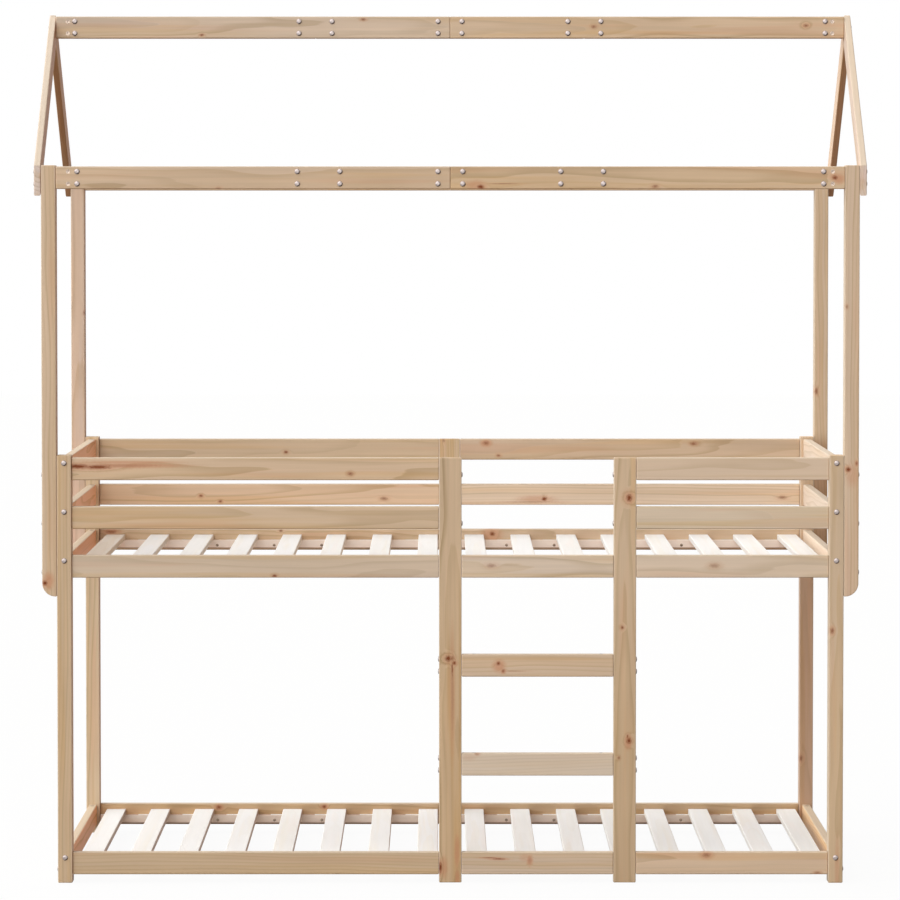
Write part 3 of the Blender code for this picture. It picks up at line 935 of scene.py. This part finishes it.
def domed_head(radius, height, socket_radius, metal, colour):
    """A domed head on z = 0 with a six-sided socket, in the metal and a dark second metal that paints shade on
    its lower right side.
    """
    base = height * HEAD_BASE_SHARE
    head = upright_cylinder(HEAD_SIDES, radius, base, base / 2)
    enter_edit(head, faces_up)
    turns = [math.radians(angle) for angle in HEAD_TURNS]
    for before, after in zip(turns[:-1], turns[1:]):
        rise = (height - base) * (math.sin(after) - math.sin(before))
        bpy.ops.mesh.extrude_region_move(TRANSFORM_OT_translate={"value": (0, 0, rise)})
        shrink = math.cos(after) / math.cos(before)
        bpy.ops.transform.resize(value=(shrink, shrink, 1), center_override=(0, 0, 0))
    leave_edit()
    cut(head, upright_cylinder(SOCKET_SIDES, socket_radius, height, height))
    # The second, dark metal is painted shade for the lower right side of the head
    for material in (metal_material(metal, colour), metal_material("shaded_steel", ZINC_PAINTED_SHADE)):
        head.data.materials.append(material)
    shade_smooth(head)
    return head


def barrel_nut_end(radius):
    """The round slotted end of a barrel nut in its hole, with its face just over z = 0."""
    rim = radius * NUT_RIM_SHARE
    nut = upright_cylinder(NUT_SIDES, radius + rim, NUT_THICKNESS, NUT_RISE - NUT_THICKNESS / 2)
    enter_edit(nut, faces_up)
    bpy.ops.mesh.inset(thickness=rim, depth=0)
    bpy.ops.mesh.extrude_region_move(TRANSFORM_OT_translate={"value": (0, 0, NUT_FACE_RISE)})
    bpy.ops.mesh.inset(thickness=rim, depth=-NUT_FACE_DIP)
    leave_edit()
    slot_size = (radius * SLOT_LENGTH_SHARE, SLOT_WIDTH, SLOT_HEIGHT)
    cut(nut, bevelled_block((0, 0, SLOT_HEIGHT / 2), slot_size, SLOT_BEVEL, 1))
    set_material(nut, metal_material("nickel_plated_steel", NUT_COLOUR))
    shade_smooth(nut)
    return nut


def place_copies(master, groups):
    """Copies of the master at each (point, outward direction), joined as one piece for each group, and removes
    the master. A master with two materials shows its second, dark one on its lower right faces as painted
    shade."""
    for name, places in groups.items():
        chance = random.Random(name)
        copies = []
        for point, outward in places:
            copy = master.copy()
            copy.data = master.data.copy()
            bpy.context.scene.collection.objects.link(copy)
            turn = Vector((0, 0, 1)).rotation_difference(Vector(outward)).to_matrix().to_4x4()
            spin = Matrix.Rotation(chance.uniform(0, math.tau), 4, "Z")
            copy.data.transform(Matrix.Translation(point) @ turn @ spin)
            # Painted shade: the faces that turn to the lower right take the dark second material
            if len(copy.data.materials) > 1:
                for face in copy.data.polygons:
                    face.material_index = int(face.normal.dot(PAINTED_SHADE_SIDE) > PAINTED_SHADE_FROM)
            copies.append(copy)
        select_only(*copies)
        bpy.ops.object.join()
        piece = bpy.context.view_layer.objects.active
        piece.name = piece.data.name = name
        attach(piece, "root")
    bpy.data.objects.remove(master, do_unlink=True)


# Where the fittings go, as (point, outward direction)


def middle_of(name):
    low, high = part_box(name)
    return (low + high) / 2


def face_of(name, axis, side):
    """Where a node's box ends along the axis X 0, Y 1 or Z 2, at the low side -1 or the high side 1."""
    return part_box(name)[side > 0][axis]


def post_heads(row):
    """Bolt heads on the front or rear faces of the corner posts, one near the top edge of each end rail."""
    places = []
    for side_name in SIDES:
        post = f"corner_post_{row}_{side_name}"
        for level in LEVELS:
            z = face_of(f"{level}_end_{side_name}", 2, 1) - RAIL_BOLT_INSET
            places.append(((middle_of(post).x, face_of(post, 1, ROWS[row]), z), (0, ROWS[row], 0)))
    return places


def side_head(x, rail, side):
    """A bolt head on a post's side face, near the lower edge of a front or rear rail."""
    return (x, middle_of(rail).y, face_of(rail, 2, -1) + RAIL_BOLT_INSET), (side, 0, 0)


def side_heads(row):
    """Bolt heads on the outer sides, one for each front or rear rail."""
    places = []
    for side_name, side in SIDES.items():
        for level in LEVELS:
            carrier = "corner_post" if level == "lower_rail" else "roof_post"
            x = face_of(f"{carrier}_{row}_{side_name}", 0, side)
            places.append(side_head(x, f"{level}_{row}_{side_name}", side))
    return places


def ladder_heads():
    """Bolt heads on the ladder posts: one at each guard rail, in the bay, and two at each end of a rung."""
    places = []
    for side_name, side in SIDES.items():
        post = f"ladder_post_{side_name}"
        for level in GUARDS:
            places.append(side_head(face_of(post, 0, -side), f"{level}_front_{side_name}", -side))
        for rung in RUNGS:
            _, y, z = middle_of(rung)
            places += [((face_of(post, 0, side), y, z + offset), (side, 0, 0)) for offset in BEAM_BOLT_OFFSETS]
    return places


def beam_pairs(node, columns, direction):
    """Pairs of places, one above the other, on a beam's front or rear face at each column."""
    y, z = face_of(node, 1, direction), middle_of(node).z
    return [((x, y, z + offset), (0, direction, 0)) for x in columns for offset in BEAM_BOLT_OFFSETS]


def beam_heads(node, columns, direction):
    """Pairs of bolt heads on a beam's face at each column, on both sides of the middle."""
    return beam_pairs(node, [side * column for side in SIDES.values() for column in columns], direction)


def rafter_heads():
    """Bolt heads on the outer faces of the rafters: two at the foot into an eave beam, one at the top."""
    places = []
    for side_name, side in SIDES.items():
        for row_name, row in ROWS.items():
            x = face_of(f"rafter_{row_name}_{side_name}", 0, side)
            _, y, z = middle_of(f"{row_name}_eave_beam_face_left")
            foot_y = y - row * BEAM_BOLT_SET_BACK
            places += [((x, foot_y, z + offset), (side, 0, 0)) for offset in BEAM_BOLT_OFFSETS]
            places.append(((x, row * RIDGE_BOLT_OUT, middle_of("ridge_beam_face_left").z), (side, 0, 0)))
    return places


def cleat_screws(level):
    """Screw heads in the inner faces of the front and rear cleats of one bunk."""
    places = []
    for row_name, row in ROWS.items():
        rail = f"{level}_{row_name}_left"
        y, z = face_of(rail, 1, -row) - row * CLEAT_REACH, face_of(rail, 2, 1) - SCREW_DROP
        places += [((x, y, z), (0, -row, 0)) for x in SCREW_COLUMNS]
    return places


def beam_nuts(beams):
    """Pairs of barrel nuts in the faces of beams near their two ends, for (beam, direction)."""
    places = []
    for side_name, side in SIDES.items():
        for beam, direction in beams:
            board = f"{beam}_face_{side_name}"
            places += beam_pairs(board, [face_of(board, 0, side) - side * NUT_INSET], direction)
    return places


def rail_nuts():
    """Barrel nuts in the rails' and rungs' edges, where they hold the bolts that come through the posts."""
    places = []
    for name in (*(node for node in NODES if node.startswith(LEVELS)), *RUNGS):
        axis = 1 if "_end_" in name else 0
        edges = (-1, 1) if name in RUNGS else (1,) if axis else (-1,)
        for end in (-1, 1):
            point = middle_of(name)
            point[axis] = face_of(name, axis, end) - end * NUT_INSET
            places += [((point.x, point.y, face_of(name, 2, edge)), (0, 0, edge)) for edge in edges]
    return places


# One operator for each piece or group of like pieces


class BUNKBED_OT_board_wood(bpy.types.Operator):
    """Gives every post, rail, rung, rafter and beam board its own pine"""

    bl_idname = "bunkbed.board_wood"
    bl_label = "Board Wood"

    def execute(self, context):
        for name, obj in NODES.items():
            if "slat_base" not in name:
                dress_board(obj, name, *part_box(name))
        return {"FINISHED"}


class BUNKBED_OT_slat_wood(bpy.types.Operator):
    """Gives the slats and cleats their paler pine, a little different on each slat"""

    bl_idname = "bunkbed.slat_wood"
    bl_label = "Slat Wood"

    def execute(self, context):
        for name, obj in NODES.items():
            if "slat_base" in name:
                set_material(obj, slat_material(name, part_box(name)[1].z - SLAT_THICKNESS))
        return {"FINISHED"}


class BUNKBED_OT_rear_backing(bpy.types.Operator):
    """Shows the inner layer of the rear eave beam as the three boards that it is"""

    bl_idname = "bunkbed.rear_backing"
    bl_label = "Rear Backing Boards"

    def execute(self, context):
        low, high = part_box("rear_eave_beam_backing")
        for place in ("left", "middle", "right"):
            board_low, board_high = low.copy(), high.copy()
            board_low.x, board_high.x = (corner.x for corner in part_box(f"front_eave_beam_backing_{place}"))
            middle, size = (board_low + board_high) / 2, board_high - board_low
            obj = bevelled_block(middle, size, EDGE_RADIUS, EDGE_SEGMENTS)
            obj.name = obj.data.name = f"rear_eave_backing_{place}"
            dress_board(obj, obj.name, board_low, board_high)
            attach(obj, "root")
            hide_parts("rear_eave_beam_backing")
        return {"FINISHED"}


class BUNKBED_OT_bolt_heads(bpy.types.Operator):
    """Adds the domed bolt heads on posts, rafters and beams"""

    bl_idname = "bunkbed.bolt_heads"
    bl_label = "Bolt Heads"

    def execute(self, context):
        sizes = context.scene.bunk_bed_fittings
        shape = (sizes.head_radius, sizes.head_height, sizes.socket_radius)
        groups = {
            "bolt_heads_posts_front": post_heads("front"),
            "bolt_heads_posts_rear": post_heads("rear"),
            "bolt_heads_sides_front": side_heads("front"),
            "bolt_heads_sides_rear": side_heads("rear"),
            "bolt_heads_ladder": ladder_heads(),
            "bolt_heads_ridge_beam": beam_heads("ridge_beam_face_left", RIDGE_COLUMNS, -1),
            "bolt_heads_front_eave_beam": beam_heads("front_eave_beam_face_left", EAVE_COLUMNS, -1),
            "bolt_heads_rear_eave_beam": beam_heads("rear_eave_beam_face_left", EAVE_COLUMNS, 1),
            "bolt_heads_rafters": rafter_heads(),
        }
        place_copies(domed_head(*shape, "zinc_plated_steel", ZINC_COLOUR), groups)
        return {"FINISHED"}


class BUNKBED_OT_cleat_screws(bpy.types.Operator):
    """Adds the small screw heads in the inner faces of the cleats"""

    bl_idname = "bunkbed.cleat_screws"
    bl_label = "Cleat Screws"

    def execute(self, context):
        radius = context.scene.bunk_bed_fittings.screw_radius
        shape = (radius, radius * SCREW_HEIGHT_SHARE, radius * SCREW_SOCKET_SHARE)
        groups = {f"cleat_screws_{level}": cleat_screws(level) for level in ("lower_rail", "bunk_rail")}
        place_copies(domed_head(*shape, "bronzed_steel", SCREW_COLOUR), groups)
        return {"FINISHED"}


class BUNKBED_OT_barrel_nuts(bpy.types.Operator):
    """Adds the round ends of the barrel nuts in beams, rails and rungs"""

    bl_idname = "bunkbed.barrel_nuts"
    bl_label = "Barrel Nuts"

    def execute(self, context):
        groups = {
            "barrel_nuts_ridge_beam": beam_nuts([("ridge_beam", -1)]),
            "barrel_nuts_eave_beams": beam_nuts([("front_eave_beam", -1), ("rear_eave_beam", 1)]),
            "barrel_nuts_rails": rail_nuts(),
        }
        place_copies(barrel_nut_end(context.scene.bunk_bed_fittings.nut_radius), groups)
        return {"FINISHED"}


def seen_or_mirrored(wires):
    """1 on rays from the camera, mirrors and glass, and 0 on all others."""
    path = wires.node("ShaderNodeLightPath").outputs
    rays = [Signal(wires, path[name]) for name in ("Is Camera Ray", "Is Glossy Ray", "Is Transmission Ray")]
    return wires.math("MAXIMUM", wires.math("MAXIMUM", *rays[:2]), rays[2])


def make_floor():
    deselect_all()
    bpy.ops.mesh.primitive_plane_add(size=FLOOR_SIZE, location=(0, 0, 0))
    floor = bpy.context.object
    floor.name = floor.data.name = "studio_floor"
    apply_place(floor)
    material, wires = new_material("studio_floor")
    seen = seen_or_mirrored(wires)
    matt = wires.result("ShaderNodeBsdfDiffuse", {"Color": wires.blend(seen, FLOOR_BOUNCE, FLOOR_DIFFUSE)})
    glow = wires.result("ShaderNodeEmission", {"Color": WHITE, "Strength": seen * FLOOR_GLOW})
    wires.end(wires.result("ShaderNodeAddShader", {0: matt, 1: glow}))
    set_material(floor, material)


def make_world(strength):
    world = bpy.data.worlds.new("studio_room")
    bpy.context.scene.world = world
    world.use_nodes = True
    wires = Wiring(world.node_tree)
    plain = wires.result("ShaderNodeBackground", {"Color": ROOM_COLOUR, "Strength": strength})
    white = wires.result("ShaderNodeBackground", {"Color": WHITE, "Strength": 1})
    mix = wires.result("ShaderNodeMixShader", {0: seen_or_mirrored(wires), 1: plain, 2: white})
    wires.end(mix, "ShaderNodeOutputWorld")


def make_lamp(name, strength, angle, source):
    """A broad, far lamp that shines from the source's direction."""
    lamp = bpy.data.lights.new(name, "SUN")
    lamp.energy = strength
    lamp.angle = angle
    lamp.color = LAMP_COLOUR
    obj = bpy.data.objects.new(name, lamp)
    bpy.context.scene.collection.objects.link(obj)
    obj.rotation_euler = (-Vector(source)).to_track_quat("-Z", "Y").to_euler()


def make_camera(look):
    data = bpy.data.cameras.new("camera")
    data.lens = look.camera_lens
    data.sensor_width = CAMERA_SENSOR
    data.shift_x, data.shift_y = CAMERA_SHIFT_X, CAMERA_SHIFT_Y
    data.clip_start, data.clip_end = CAMERA_CLIP
    camera = bpy.data.objects.new("camera", data)
    bpy.context.scene.collection.objects.link(camera)
    camera.location = (CAMERA_SIDE, -look.camera_distance, look.camera_height)
    camera.rotation_euler = (math.pi / 2 - look.camera_pitch, 0, 0)
    bpy.context.scene.camera = camera


class BUNKBED_OT_stage(bpy.types.Operator):
    """Adds the floor, the even room light, the two broad lamps and the camera"""

    bl_idname = "bunkbed.stage"
    bl_label = "Stage"

    def execute(self, context):
        look = context.scene.bunk_bed_stage
        make_floor()
        make_world(look.room_strength)
        make_lamp("key_light", look.key_strength, KEY_ANGLE, KEY_FROM)
        make_lamp("front_light", look.front_strength, FRONT_ANGLE, FRONT_FROM)
        make_camera(look)
        context.scene.view_settings.view_transform = "Standard"
        return {"FINISHED"}


OPERATORS = (
    BUNKBED_OT_board_wood,
    BUNKBED_OT_slat_wood,
    BUNKBED_OT_rear_backing,
    BUNKBED_OT_bolt_heads,
    BUNKBED_OT_cleat_screws,
    BUNKBED_OT_barrel_nuts,
    BUNKBED_OT_stage,
)


class BUNKBED_PT_finish(bpy.types.Panel):
    """Lists the steps and the sizes and colours they use"""

    bl_idname = "BUNKBED_PT_finish"
    bl_label = "Bunk Bed"
    bl_space_type = "VIEW_3D"
    bl_region_type = "UI"
    bl_category = "Bunk Bed"

    def draw(self, context):
        for group_name in GROUPS:
            group = getattr(context.scene, group_name)
            box = self.layout.box()
            for name in group.bl_rna.properties.keys():
                if name not in ("rna_type", "name"):
                    box.prop(group, name)
        for operator in OPERATORS:
            self.layout.operator(operator.bl_idname)


GROUPS = {
    "bunk_bed_wood": WoodLook,
    "bunk_bed_fittings": FittingSizes,
    "bunk_bed_stage": StageLook,
}


def register():
    for cls in (*GROUPS.values(), *OPERATORS, BUNKBED_PT_finish):
        bpy.utils.register_class(cls)
    for name, cls in GROUPS.items():
        setattr(bpy.types.Scene, name, PointerProperty(type=cls))


def unregister():
    for name in GROUPS:
        delattr(bpy.types.Scene, name)
    for cls in reversed((*GROUPS.values(), *OPERATORS, BUNKBED_PT_finish)):
        bpy.utils.unregister_class(cls)


def main():
    register()
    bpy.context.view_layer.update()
    for operator in OPERATORS:
        group, name = operator.bl_idname.split(".")
        getattr(getattr(bpy.ops, group), name)()
    deselect_all()


if __name__ == "__main__":
    main()
